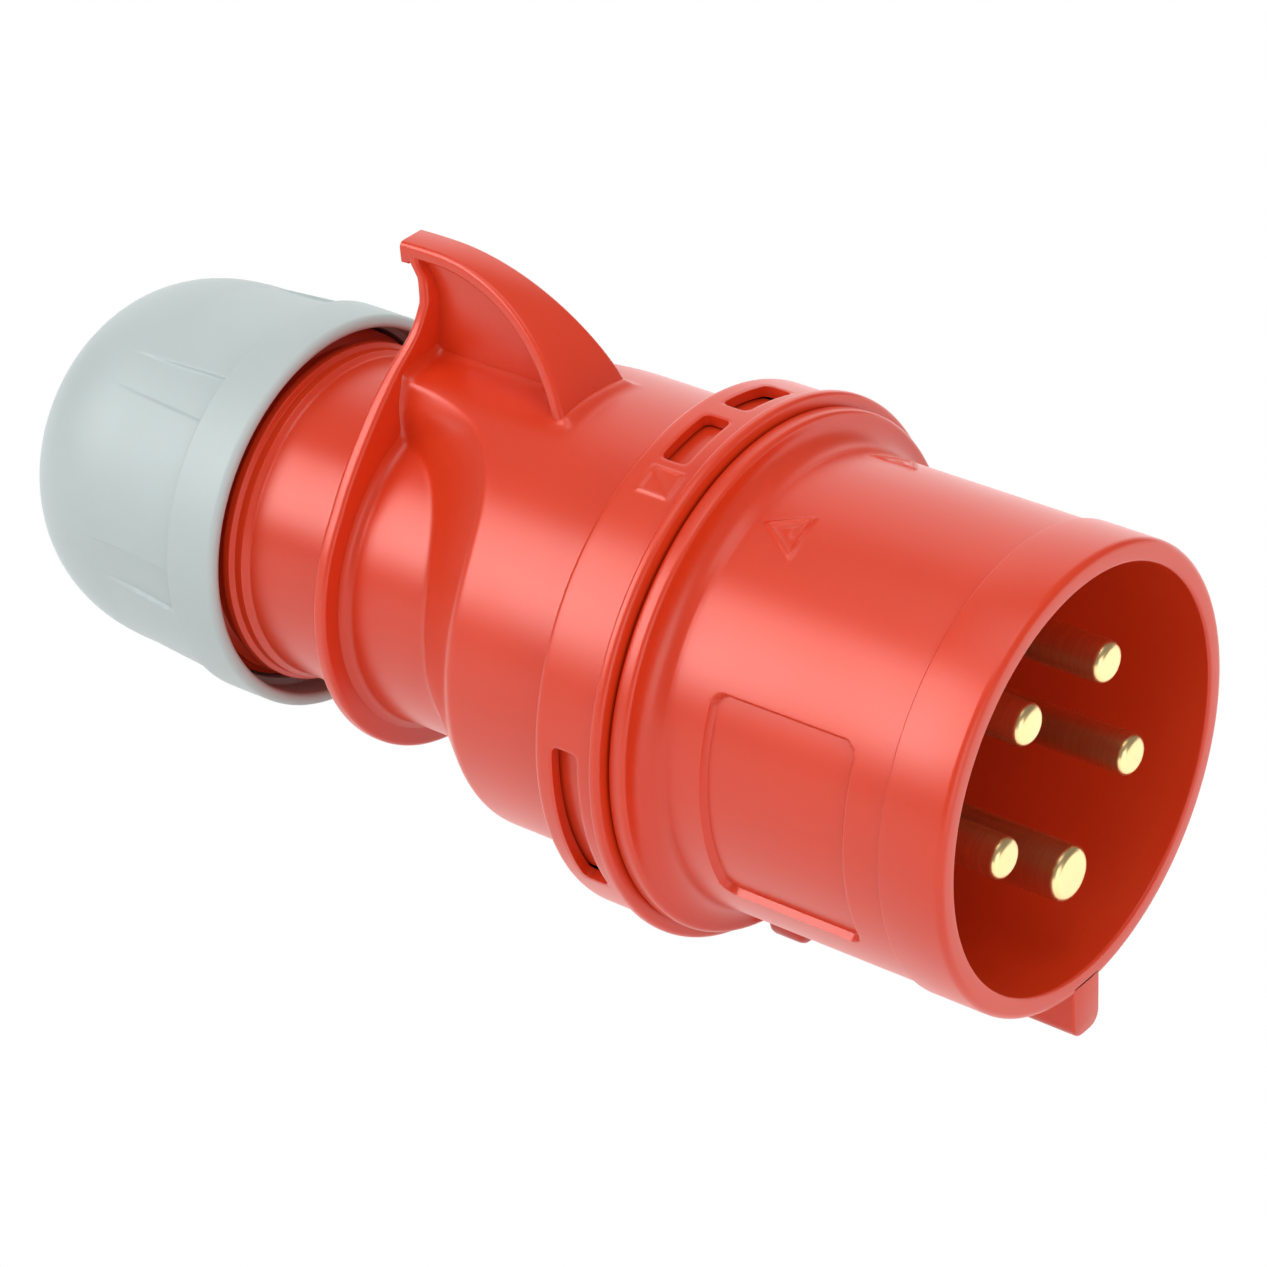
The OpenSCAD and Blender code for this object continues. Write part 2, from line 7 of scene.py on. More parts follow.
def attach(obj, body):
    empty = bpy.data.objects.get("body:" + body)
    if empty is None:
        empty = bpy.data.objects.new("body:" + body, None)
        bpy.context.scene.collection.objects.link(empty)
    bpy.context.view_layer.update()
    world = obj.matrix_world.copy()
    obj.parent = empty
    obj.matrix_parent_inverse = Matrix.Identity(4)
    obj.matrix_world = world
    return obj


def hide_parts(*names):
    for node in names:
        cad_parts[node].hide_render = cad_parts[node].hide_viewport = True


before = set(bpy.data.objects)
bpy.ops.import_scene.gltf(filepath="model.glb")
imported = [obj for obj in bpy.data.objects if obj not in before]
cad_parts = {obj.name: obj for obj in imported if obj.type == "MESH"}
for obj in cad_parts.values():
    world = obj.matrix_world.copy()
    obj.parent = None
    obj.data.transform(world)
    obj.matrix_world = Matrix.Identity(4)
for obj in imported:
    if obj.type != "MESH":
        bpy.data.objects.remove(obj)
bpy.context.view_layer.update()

# ---------------------------------------------------------------------------
# Moulded grain: a node group for every plastic. It gives a fine bump and a slightly uneven
# roughness, both from object coordinates.
# ---------------------------------------------------------------------------
grain = bpy.data.node_groups.new("Moulded grain", "ShaderNodeTree")
for label, kind, default in (
    ("Grain size", "NodeSocketFloat", 0.0005),
    ("Grain height", "NodeSocketFloat", 0.25),
    ("Roughness", "NodeSocketFloat", 0.4),
    ("Unevenness", "NodeSocketFloat", 0.08),
):
    grain.interface.new_socket(label, in_out="INPUT", socket_type=kind).default_value = default
grain.interface.new_socket("Normal", in_out="OUTPUT", socket_type="NodeSocketVector")
grain.interface.new_socket("Roughness", in_out="OUTPUT", socket_type="NodeSocketFloat")
grain.interface.new_socket("Patch", in_out="OUTPUT", socket_type="NodeSocketFloat")
g_in = grain.nodes.new("NodeGroupInput")
g_out = grain.nodes.new("NodeGroupOutput")
g_co = grain.nodes.new("ShaderNodeTexCoord")
g_inv = grain.nodes.new("ShaderNodeMath")
g_inv.operation = "DIVIDE"
g_inv.inputs[0].default_value = 1.0
grain.links.new(g_in.outputs["Grain size"], g_inv.inputs[1])
g_fine = grain.nodes.new("ShaderNodeTexNoise")
g_fine.inputs["Detail"].default_value = 3.0
grain.links.new(g_co.outputs["Object"], g_fine.inputs["Vector"])
grain.links.new(g_inv.outputs[0], g_fine.inputs["Scale"])
g_bump = grain.nodes.new("ShaderNodeBump")
g_bump.inputs["Distance"].default_value = 0.00003
grain.links.new(g_fine.outputs["Fac"], g_bump.inputs["Height"])
grain.links.new(g_in.outputs["Grain height"], g_bump.inputs["Strength"])
grain.links.new(g_bump.outputs["Normal"], g_out.inputs["Normal"])
g_wide = grain.nodes.new("ShaderNodeTexNoise")
g_wide.inputs["Scale"].default_value = 60.0
g_wide.inputs["Detail"].default_value = 4.0
grain.links.new(g_co.outputs["Object"], g_wide.inputs["Vector"])
g_half = grain.nodes.new("ShaderNodeMath")
g_half.operation = "SUBTRACT"
g_half.inputs[1].default_value = 0.5
grain.links.new(g_wide.outputs["Fac"], g_half.inputs[0])
g_rough = grain.nodes.new("ShaderNodeMath")
g_rough.operation = "MULTIPLY_ADD"
grain.links.new(g_half.outputs[0], g_rough.inputs[0])
grain.links.new(g_in.outputs["Unevenness"], g_rough.inputs[1])
grain.links.new(g_in.outputs["Roughness"], g_rough.inputs[2])
grain.links.new(g_rough.outputs[0], g_out.inputs["Roughness"])
grain.links.new(g_wide.outputs["Fac"], g_out.inputs["Patch"])


def plastic(name, colour, roughness, size, height, glow=0.0):
    """A moulded plastic: the grain group feeds a Principled shader, and patches tint the colour."""
    m = bpy.data.materials.new(name)
    m.use_nodes = True
    nt = m.node_tree
    shader = nt.nodes["Principled BSDF"]
    g = nt.nodes.new("ShaderNodeGroup")
    g.node_tree = grain
    g.inputs["Grain size"].default_value = size
    g.inputs["Grain height"].default_value = height
    g.inputs["Roughness"].default_value = roughness
    tint = nt.nodes.new("ShaderNodeMix")
    tint.data_type = "RGBA"
    tint.inputs["A"].default_value = (*[c * 0.94 for c in colour], 1)
    tint.inputs["B"].default_value = (*[min(1, c * 1.05) for c in colour], 1)
    nt.links.new(g.outputs["Patch"], tint.inputs["Factor"])
    nt.links.new(tint.outputs["Result"], shader.inputs["Base Color"])
    nt.links.new(g.outputs["Roughness"], shader.inputs["Roughness"])
    nt.links.new(g.outputs["Normal"], shader.inputs["Normal"])
    shader.inputs["Subsurface Weight"].default_value = glow
    shader.inputs["Subsurface Radius"].default_value = (0.004, 0.0008, 0.0004)
    shader.inputs["Subsurface Scale"].default_value = 1.0
    return m


def metal(name, colour, roughness, rings, depth):
    """Turned metal: fine rings along X as a bump, over a metallic shader."""
    m = bpy.data.materials.new(name)
    m.use_nodes = True
    nt = m.node_tree
    shader = nt.nodes["Principled BSDF"]
    shader.inputs["Metallic"].default_value = 1.0
    co = nt.nodes.new("ShaderNodeTexCoord")
    stretch = nt.nodes.new("ShaderNodeMapping")
    stretch.inputs["Scale"].default_value = (rings, rings * 0.02, rings * 0.02)
    noise = nt.nodes.new("ShaderNodeTexNoise")
    noise.inputs["Scale"].default_value = 1.0
    noise.inputs["Detail"].default_value = 2.0
    bump = nt.nodes.new("ShaderNodeBump")
    bump.inputs["Distance"].default_value = depth
    bump.inputs["Strength"].default_value = 0.5
    ramp = nt.nodes.new("ShaderNodeMix")
    ramp.data_type = "RGBA"
    ramp.inputs["A"].default_value = (*[c * 0.82 for c in colour], 1)
    ramp.inputs["B"].default_value = (*[min(1, c * 1.12) for c in colour], 1)
    nt.links.new(co.outputs["Object"], stretch.inputs["Vector"])
    nt.links.new(stretch.outputs["Vector"], noise.inputs["Vector"])
    nt.links.new(noise.outputs["Fac"], bump.inputs["Height"])
    nt.links.new(noise.outputs["Fac"], ramp.inputs["Factor"])
    nt.links.new(ramp.outputs["Result"], shader.inputs["Base Color"])
    nt.links.new(bump.outputs["Normal"], shader.inputs["Normal"])
    shader.inputs["Roughness"].default_value = roughness
    return m


red = plastic("Red housing", (0.70, 0.041, 0.007), 0.32, 0.0006, 0.16, 0.10)
grey = plastic("Pale grey gland", (0.492, 0.565, 0.556), 0.5, 0.0007, 0.18, 0.05)
black = plastic("Insulator", (0.03, 0.03, 0.033), 0.5, 0.0006, 0.3)
rubber = plastic("Seal rubber", (0.012, 0.012, 0.013), 0.7, 0.0004, 0.5)
brass = metal("Contact brass", (0.84, 0.63, 0.31), 0.31, 3500, 0.00003)
steel = metal("Screw steel", (0.62, 0.62, 0.63), 0.3, 2500, 0.00002)


def coat(obj, material, body):
    """Gives a piece its material and the body that it rides on."""
    obj.data.materials.clear()
    obj.data.materials.append(material)
    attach(obj, body)
    return obj


for name in ("pin_carrier", "retaining_plate", "pressure_ring"):
    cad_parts[name].data.materials.clear()
    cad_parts[name].data.materials.append(black)
for name in ("housing_seal", "cable_seal"):
    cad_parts[name].data.materials.clear()
    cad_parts[name].data.materials.append(rubber)
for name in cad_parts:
    if "screw" in name:
        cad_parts[name].data.materials.clear()
        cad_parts[name].data.materials.append(steel)
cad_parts["clamp_cage"].data.materials.clear()
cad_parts["clamp_cage"].data.materials.append(grey)


def add_mesh(name, points, faces, crease=38):
    """A closed mesh from points in millimetres, shaded smooth with sharp edges past an angle."""
    mesh = bpy.data.meshes.new(name)
    mesh.from_pydata(np.asarray(points, float).reshape(-1, 3) / 1000, [], faces)
    mesh.validate()
    volume = 0.0
    co = np.empty(len(mesh.vertices) * 3)
    mesh.vertices.foreach_get("co", co)
    co = co.reshape(-1, 3)
    mesh.calc_loop_triangles()
    tri = np.empty(len(mesh.loop_triangles) * 3, int)
    mesh.loop_triangles.foreach_get("vertices", tri)
    tri = tri.reshape(-1, 3)
    volume = np.einsum("ij,ij->i", co[tri[:, 0]], np.cross(co[tri[:, 1]], co[tri[:, 2]])).sum()
    if volume < 0:
        mesh.flip_normals()
    mesh.shade_smooth()
    mesh.set_sharp_from_angle(angle=math.radians(crease))
    obj = bpy.data.objects.new(name, mesh)
    bpy.context.scene.collection.objects.link(obj)
    return obj


def lathe(name, loop, angles, shape=None, crease=38):
    """Turns a closed loop of (station, radius) round the plug's axis. Angle 0 is up, 90 is -Y.
    shape(station, radius, angle) may move the points."""
    loop = np.asarray(loop, float)
    a = np.radians(np.asarray(angles, float))[None, :]
    s = loop[:, :1] + 0 * a
    r = loop[:, 1:] + 0 * a
    if shape:
        s, r = shape(s, r, a + 0 * s)
    points = np.stack([-s, -r * np.sin(a), r * np.cos(a)], axis=-1)
    n, m = s.shape
    i, j = np.meshgrid(np.arange(n), np.arange(m), indexing="ij")
    i2, j2 = (i + 1) % n, (j + 1) % m
    faces = np.stack([i * m + j, i * m + j2, i2 * m + j2, i2 * m + j], axis=-1).reshape(-1, 4)
    return add_mesh(name, points, faces.tolist(), crease)


def rounded(corners, steps=6):
    """A closed outline from (u, v, radius) corners, each rounded by an arc."""
    out = []
    n = len(corners)
    for k in range(n):
        p = np.array(corners[k][:2], float)
        rad = corners[k][2]
        before = np.array(corners[k - 1][:2], float) - p
        after = np.array(corners[(k + 1) % n][:2], float) - p
        b, c = before / np.linalg.norm(before), after / np.linalg.norm(after)
        half = math.acos(max(-1, min(1, float(b @ c)))) / 2
        if rad <= 0 or half > 1.56:
            out.append(p)
            continue
        reach = min(rad / math.tan(half), np.linalg.norm(before) * 0.75, np.linalg.norm(after) * 0.75)
        rad = reach * math.tan(half)
        mid = (b + c) / np.linalg.norm(b + c)
        centre = p + mid * rad / math.sin(half)
        start, end = p + b * reach - centre, p + c * reach - centre
        a0, a1 = math.atan2(start[1], start[0]), math.atan2(end[1], end[0])
        turn = (a1 - a0 + math.pi) % (2 * math.pi) - math.pi
        for t in range(steps + 1):
            a = a0 + turn * t / steps
            out.append(centre + rad * np.array([math.cos(a), math.sin(a)]))
    return np.array(out)


def fill_rows(loop, s0, s1, step):
    """Adds rows to the outer stretch of a loop between two stations, at most a step apart."""
    out = []
    for p, q in zip(loop, np.roll(loop, -1, axis=0)):
        out.append(p)
        if q[0] > p[0] and p[0] >= s0 - 0.01 and q[0] <= s1 + 0.01 and q[0] - p[0] > step:
            n = math.ceil((q[0] - p[0]) / step)
            out += [p + (q - p) * k / n for k in range(1, n)]
    return np.array(out)


def smoothstep(t):
    t = np.clip(t, 0, 1)
    return t * t * (3 - 2 * t)


# ---------------------------------------------------------------------------
# Barrel: the round shroud with its mouth band, flange and spigot, and a recessed blank panel
# on the near side. A raised open arrow stands beside the panel.
# ---------------------------------------------------------------------------
barrel_r = 32.65    # outside of the barrel, behind the mouth band
inner_r = 30.0      # inside of the mouth
flange_at = 48.0
barrel_loop = rounded([
    (46.0, 28.4, 0.3), (46.0, inner_r, 0.5), (0.0, inner_r, 0.5), (0.0, 33.2, 1.1), (9.8, 33.2, 0.25),
    (9.9, barrel_r, 0.2), (flange_at, barrel_r, 3.4), (flange_at, 37.3, 0.7), (50.6, 37.3, 0.5),
    (50.6, 33.9, 0.3), (61.0, 33.9, 0.4), (61.0, 30.6, 0.3), (flange_at, 30.6, 0), (flange_at, 28.4, 0)])
barrel_loop = fill_rows(barrel_loop, 9.9, 46.0, 0.3)
barrel_angles = np.unique(np.round(np.concatenate([
    np.arange(0, 360, 1.2), np.arange(8, 30, 0.5), np.arange(58, 66, 0.5),
    np.arange(115, 123, 0.5), np.arange(326, 344, 0.6)]), 3))


def triangle_distance(u, v, corners):
    """Signed distance to a triangle, negative inside."""
    d = None
    e0, e1 = corners[1] - corners[0], corners[2] - corners[0]
    area = e0[0] * e1[1] - e0[1] * e1[0]
    for k in range(3):
        p, q = corners[k], corners[(k + 1) % 3]
        e = (q - p) / np.linalg.norm(q - p)
        side = ((u - p[0]) * e[1] - (v - p[1]) * e[0]) * (1 if area > 0 else -1)
        d = side if d is None else np.maximum(d, side)
    return d


def barrel_shape(s, r, a):
    """Sinks the blank panel into the near side and raises the two arrows."""
    panel_at, panel_deg = 27.4, 90.3
    half_length, half_width, corner, depth = 11.3, 16.4, 2.2, 1.0
    outer = (np.abs(r - barrel_r) < 0.01) & (s > 9)
    deg = np.degrees(a)
    v = (deg - panel_deg) * math.pi / 180 * barrel_r
    dx = np.abs(s - panel_at) - (half_length - corner)
    dv = np.abs(v) - (half_width - corner)
    box = np.hypot(np.maximum(dx, 0), np.maximum(dv, 0)) + np.minimum(np.maximum(dx, dv), 0) - corner
    drop = depth * smoothstep(0.5 - box / 0.4)
    lift = np.zeros_like(s)
    for tip, left, right in (((37.0, 13), (43.2, 19.4), (36.4, 27.0)),
                             ((38.8, 329), (43.0, 340), (35.0, 339))):
        w = deg * math.pi / 180 * barrel_r
        c = [np.array([p[0], math.radians(p[1]) * barrel_r]) for p in (tip, left, right)]
        d = triangle_distance(s, w, c)
        lift = np.maximum(lift, 0.28 * smoothstep(1 - np.abs(d + 0.35) / 0.5))
        lift = np.maximum(lift, 0.22 * smoothstep(-(d + 1.5) / 0.4))
    r = np.where(outer, r - drop + lift, r)
    return s, r


barrel = lathe("barrel_shell", barrel_loop, barrel_angles, barrel_shape)
coat(barrel, red, "front")
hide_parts("shroud")


def slab(name, outline, low, high, edge, place, steps=3, crease=38):
    """A plate with rounded edges: an outline swept from low to high, drawn in at both faces.
    place(points, height) turns the outline's points into millimetres in the frame."""
    outline = np.asarray(outline, float)
    ahead = np.roll(outline, -1, axis=0) - outline
    ahead /= np.linalg.norm(ahead, axis=1)[:, None] + 1e-12
    tangent = ahead + np.roll(ahead, 1, axis=0)
    tangent /= np.linalg.norm(tangent, axis=1)[:, None] + 1e-12
    normal = np.stack([tangent[:, 1], -tangent[:, 0]], axis=1)
    area = np.sum(outline[:, 0] * np.roll(outline[:, 1], -1) - np.roll(outline[:, 0], -1) * outline[:, 1])
    if area < 0:
        normal = -normal
    rows = []
    for k in range(steps + 1):
        t = math.pi / 2 * k / steps
        rows.append((edge * (1 - math.sin(t)), low + edge * (1 - math.cos(t))))
    for k in range(steps, -1, -1):
        t = math.pi / 2 * k / steps
        rows.append((edge * (1 - math.sin(t)), high - edge * (1 - math.cos(t))))
    points = []
    for inset, height in rows:
        points.append(place(outline - normal * inset, height))
    n, m = len(rows), len(outline)
    faces = [[i * m + j, i * m + (j + 1) % m, (i + 1) * m + (j + 1) % m, (i + 1) * m + j]
             for i in range(n - 1) for j in range(m)]
    faces.append(list(range(m))[::-1])
    faces.append([(n - 1) * m + j for j in range(m)])
    return add_mesh(name, np.concatenate(points), faces, crease)


# ---------------------------------------------------------------------------
# Key: the guide rib under the barrel with its rounded bottom, and the wider foot that ties
# it to the flange.
# ---------------------------------------------------------------------------
key_outline = rounded([(-3.1, -31.6, 0), (-3.1, -40.4, 2.2), (3.1, -40.4, 2.2), (3.1, -31.6, 0)])
key = slab("key_rib", key_outline, 0.0, 48.6, 0.35,
           lambda p, h: np.stack([0 * p[:, 0] - h, p[:, 0], p[:, 1]], axis=1))
coat(key, red, "front")
foot_outline = rounded([(-7.0, -30.6, 0), (-7.0, -40.1, 2.6), (7.0, -40.1, 2.6), (7.0, -30.6, 0)])
foot = slab("key_foot", foot_outline, 42.8, 48.8, 1.0,
            lambda p, h: np.stack([0 * p[:, 0] - h, p[:, 0], p[:, 1]], axis=1))
coat(foot, red, "front")

# ---------------------------------------------------------------------------
# Twist lock: the three lugs on the barrel's spigot that show through the band's windows.
# ---------------------------------------------------------------------------
lug_from, lug_to = 54.9, 60.3
lug_low, lug_top = 33.7, 36.1
lug_points = []
lug_faces = []
for at in (0, 102, -102):
    outline = rounded([(lug_from, lug_low, 0), (lug_from, lug_top, 0.3),
                       (lug_to, lug_top, 0.3), (lug_to, lug_low, 0)], 3)
    base = len(lug_points)
    m = len(outline)
    cuts = np.radians(np.linspace(at - 18, at + 18, 25))
    for a in cuts:
        for s, r in outline:
            lug_points.append((-s, -r * math.sin(a), r * math.cos(a)))
    for i in range(len(cuts) - 1):
        for j in range(m):
            j2 = (j + 1) % m
            lug_faces.append([base + i * m + j, base + i * m + j2,
                              base + (i + 1) * m + j2, base + (i + 1) * m + j])
    lug_faces.append([base + j for j in range(m)][::-1])
    lug_faces.append([base + (len(cuts) - 1) * m + j for j in range(m)])
lugs = add_mesh("bayonet_lugs", lug_points, lug_faces)
coat(lugs, red, "front")

# ---------------------------------------------------------------------------
# Handle band: the lip and the band over the twist lock, with its windows cut right through.
# The grid has lines on every window's edge, and the corner points are drawn onto arcs.
# ---------------------------------------------------------------------------
windows = [(55.3, 59.6, 2.6, 18.2), (55.3, 59.6, 341.8, 357.4),
           (55.3, 59.6, 83.5, 120.5), (55.3, 59.6, 239.5, 276.5)]
corner_mm = 1.0
corner_deg = math.degrees(corner_mm / 38)
band_profile = rounded([(50.95, 36.4, 0), (50.95, 39.08, 0.7), (52.45, 39.08, 0.5), (52.9, 38.0, 0.3),
                        (62.65, 38.0, 0.8), (62.65, 36.4, 0)], 4)[1:-1]
window_rows = [55.3 + k * corner_mm / 3 for k in range(4)] + [59.6 - k * corner_mm / 3 for k in range(4)]
extra_rows = list(np.arange(53.3, 61.6, 0.35))
keep = list(window_rows)
keep += [s for s in extra_rows if min(abs(s - w) for w in window_rows) > 0.14]
flat_rows = [[s, 38.0] for s in keep]
lip_end = 52
band_rows = np.array(sorted(band_profile.tolist() + flat_rows,
                            key=lambda p: (p[0], p[1] if p[0] < lip_end else -p[1])))
band_angles = set(np.round(np.arange(0, 360, 1.5), 3))
for _, _, a0, a1 in windows:
    band_angles = {a for a in band_angles if not (a0 - 2.2 < a < a0 + 2.2 or a1 - 2.2 < a < a1 + 2.2)}
    for k in range(4):
        band_angles.add(round(a0 + k * corner_deg / 3, 3))
        band_angles.add(round(a1 - k * corner_deg / 3, 3))
    for k in (0.4, 0.9, 1.6):
        band_angles.add(round((a0 - k) % 360, 3))
        band_angles.add(round((a1 + k) % 360, 3))
band_angles = {a for a in band_angles if not 19.7 < a < 28.3}
band_angles |= set(np.round(np.arange(19.8, 28.2, 0.4), 3))
band_angles = np.array(sorted(band_angles))
n, m = len(band_rows), len(band_angles)
s_grid = band_rows[:, :1] + 0 * band_angles[None, :]
a_grid = band_angles[None, :] + 0 * s_grid
r_out = band_rows[:, 1:] + 0 * s_grid
r_in = np.full_like(s_grid, 36.4)
cut = np.zeros((n, m), bool)
edge_point = np.zeros((n, m), bool)
mid_s = (s_grid + np.roll(s_grid, -1, axis=0)) / 2
next_a = np.roll(a_grid, -1, axis=1)
next_a[:, -1] += 360
mid_a = (a_grid + next_a) / 2
for s0, s1, a0, a1 in windows:
    cut |= (mid_s > s0) & (mid_s < s1) & (mid_a > a0) & (mid_a < a1)
    on_row = (np.abs(s_grid - s0) < 0.01) | (np.abs(s_grid - s1) < 0.01)
    on_col = (np.abs(a_grid - a0) < 0.01) | (np.abs(a_grid - a1) < 0.01)
    inside = (s_grid > s0 - 0.01) & (s_grid < s1 + 0.01) & (a_grid > a0 - 0.01) & (a_grid < a1 + 0.01)
    rim = inside & (on_row | on_col)
    edge_point |= rim
    us = s_grid - (s0 + s1) / 2
    ua = np.radians(a_grid - (a0 + a1) / 2) * 38
    hs, ha = (s1 - s0) / 2 - corner_mm, math.radians((a1 - a0) / 2) * 38 - corner_mm
    cs, ca = np.sign(us) * hs, np.sign(ua) * ha
    in_corner = rim & (np.abs(us) > hs) & (np.abs(ua) > ha)
    ds, da = us - cs, ua - ca
    long = np.hypot(ds, da) + 1e-9
    s_new = (s0 + s1) / 2 + cs + ds / long * corner_mm
    a_new = (a0 + a1) / 2 + np.degrees((ca + da / long * corner_mm) / 38)
    s_grid = np.where(in_corner, s_new, s_grid)
    a_grid = np.where(in_corner, a_new, a_grid)
r_out = np.where(edge_point, r_out - 0.12, r_out)
mark_s = np.abs(s_grid - 56.9)
mark_a = np.abs(a_grid - 23.9) * math.pi / 180 * 38
frame_d = np.maximum(mark_s - 2.5, mark_a - 2.1)
diag = np.abs((s_grid - 56.9) * 0.6 + (a_grid - 23.9) * math.pi / 180 * 38 * 0.8)
mark = np.maximum(smoothstep(1 - np.abs(frame_d) / 0.35),
                  smoothstep(1 - diag / 0.4) * (frame_d < 0))
r_out = np.where((s_grid > 53) & (s_grid < 61) & (frame_d < 0.6), r_out + 0.2 * mark, r_out)
a_rad = np.radians(a_grid)
outer = np.stack([-s_grid, -r_out * np.sin(a_rad), r_out * np.cos(a_rad)], axis=-1).reshape(-1, 3)
inner = np.stack([-s_grid, -r_in * np.sin(a_rad), r_in * np.cos(a_rad)], axis=-1).reshape(-1, 3)
band_faces = []
shift = n * m
for i in range(n - 1):
    for j in range(m):
        j2 = (j + 1) % m
        o = [i * m + j, i * m + j2, (i + 1) * m + j2, (i + 1) * m + j]
        if not cut[i, j]:
            band_faces.append(o)
            band_faces.append([k + shift for k in o[::-1]])
            for di, dj, e in ((-1, 0, (0, 1)), (1, 0, (2, 3)), (0, 1, (1, 2)), (0, -1, (3, 0))):
                ni, nj = i + di, (j + dj) % m
                if 0 <= ni < n - 1 and cut[ni, nj]:
                    p, q = o[e[0]], o[e[1]]
                    band_faces.append([q, p, p + shift, q + shift])
for j in range(m):
    j2 = (j + 1) % m
    band_faces.append([j2, j, j + shift, j2 + shift])
    last = (n - 1) * m
    band_faces.append([last + j, last + j2, last + j2 + shift, last + j + shift])
band = add_mesh("handle_band", np.concatenate([outer, inner]), band_faces)
coat(band, red, "grip")
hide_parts("handle")

# ---------------------------------------------------------------------------
# Handle body: one skin from the band to the thread. The scooped grip is a height field over
# station and angle: an arc in plan leads each side's wall from the fin round to the shoulder.
# ---------------------------------------------------------------------------
grip_r, waist_r = 33.1, 25.0
guard_front = 107.45
thread_from, thread_to, thread_pitch = 133.2, 142.6, 3.0
body_loop = rounded([
    (61.6, 36.4, 0), (62.65, 36.4, 0), (62.65, grip_r, 1.0), (107.4, grip_r, 0), (109.0, 24.0, 0),
    (126.2, 24.0, 0.8), (127.0, 24.75, 0.3), (128.3, 24.75, 0.2), (128.7, 25.5, 0.3),
    (129.9, 25.5, 0.3), (130.5, 24.3, 0.3), (132.4, 24.3, 0.3), (thread_from, 25.6, 0.3),
    (143.0, 25.6, 0.5), (143.0, 22.4, 0), (130.6, 22.4, 0), (130.6, 21.4, 0), (92.0, 21.4, 0),
    (80.1, 30.3, 0), (62.3, 30.3, 0), (61.6, 31.0, 0)])
body_loop = fill_rows(body_loop, 63.4, 107.5, 0.32)
body_loop = fill_rows(body_loop, 133.0, 143.2, 0.3)
body_angles = np.unique(np.round(np.concatenate([
    np.arange(0, 360, 1.0), np.arange(0, 45, 0.4), np.arange(315, 360, 0.4)]), 3))


def plan_arc(y, y0, s0, radius):
    """Station of the scoop's edge at a distance y from the middle plane."""
    c = np.clip(1 - (y - y0) / radius, 0, 1)
    return np.where(y > y0, s0 - radius * np.sqrt(1 - c * c), s0 + (y0 - y) * 14)


def scoop(s, a):
    """Radius of the grip: full before the scoop's wall, drawn in to the waist behind it."""
    side = np.abs((np.degrees(a) + 180) % 360 - 180)
    wide = np.where(side < 90, np.sin(np.radians(np.minimum(side, 90))), 1.0)
    top = plan_arc(grip_r * wide, 9.2, 102.0, 20.0)
    low = np.maximum(plan_arc(waist_r * wide, 9.0, 112.3, 20.2), top + 6)
    t = np.clip((s - top) / (low - top), 0, 1)
    return grip_r - (grip_r - waist_r) * t


def scoop_field(fine_s, fine_a):
    """The grip's radius on a fine grid, with fillets to the fin and guard, and softened edges."""
    fillet = 1.6
    grid = scoop(fine_s[:, None], np.radians(fine_a)[None, :])
    across = np.abs(grip_r * np.radians((fine_a + 180) % 360 - 180))[None, :]
    web = np.maximum(across - 1.3, 87.5 - fine_s[:, None])
    plate = np.maximum(across - 6.8, np.abs(fine_s[:, None] - 80.6) - 1.0)
    near = np.minimum(web, plate)
    k = np.clip(fillet - near, 0, fillet)
    rise = fillet - np.sqrt(np.maximum(fillet ** 2 - k * k, 0))
    grid = grid + np.where(near < fillet, rise, 0) * 0.55
    x = np.arange(-14, 15)
    kernel_s = np.exp(-0.5 * (x * 0.25 / 0.5) ** 2)
    kernel_s /= kernel_s.sum()
    padded = np.pad(grid, ((14, 14), (0, 0)), mode="edge")
    columns = [np.convolve(padded[:, c], kernel_s, mode="valid") for c in range(grid.shape[1])]
    grid = np.stack(columns, axis=1)
    kernel_a = np.exp(-0.5 * (x[4:-4] * 0.5 / 0.8) ** 2)
    kernel_a /= kernel_a.sum()
    padded = np.concatenate([grid[:, -10:], grid, grid[:, :10]], axis=1)
    grid = np.stack([np.convolve(row, kernel_a, mode="valid") for row in padded], axis=0)
    to_guard = np.clip(fillet - (107.4 - fine_s), 0, fillet)[:, None]
    return grid + (fillet - np.sqrt(np.maximum(fillet ** 2 - to_guard ** 2, 0)))


def body_shape(s, r, a):
    """Lays the height field on the grip's rows, and the raised thread on the neck."""
    field = (s > 63.3) & (s < guard_front) & (np.abs(r - grip_r) < 0.01)
    rows = np.where(field[:, 0])[0]
    fine_s = np.arange(60, 112, 0.25)
    grid = scoop_field(fine_s, np.arange(0, 360, 0.5))
    fa = (np.degrees(a[0]) / 0.5) % 720
    j0 = np.floor(fa).astype(int) % 720
    j1 = (j0 + 1) % 720
    w = fa - np.floor(fa)
    for i in rows:
        fs = (s[i, 0] - 60) / 0.25
        i0 = int(fs)
        u = fs - i0
        line = grid[i0] * (1 - u) + grid[min(i0 + 1, len(fine_s) - 1)] * u
        r[i] = line[j0] * (1 - w) + line[j1] * w
    thread = (s > thread_from) & (s < thread_to) & (r > 25)
    turn = (s / thread_pitch + np.degrees(a) / 360) % 1.0
    ridge = smoothstep(1 - np.abs(turn - 0.5) / 0.32)
    fade = smoothstep((s - thread_from) / 1.2) * smoothstep((thread_to - s) / 1.2)
    r = np.where(thread, r + 1.0 * ridge * fade, r)
    return s, r


body = lathe("handle_body", body_loop, body_angles, body_shape)
coat(body, red, "grip")

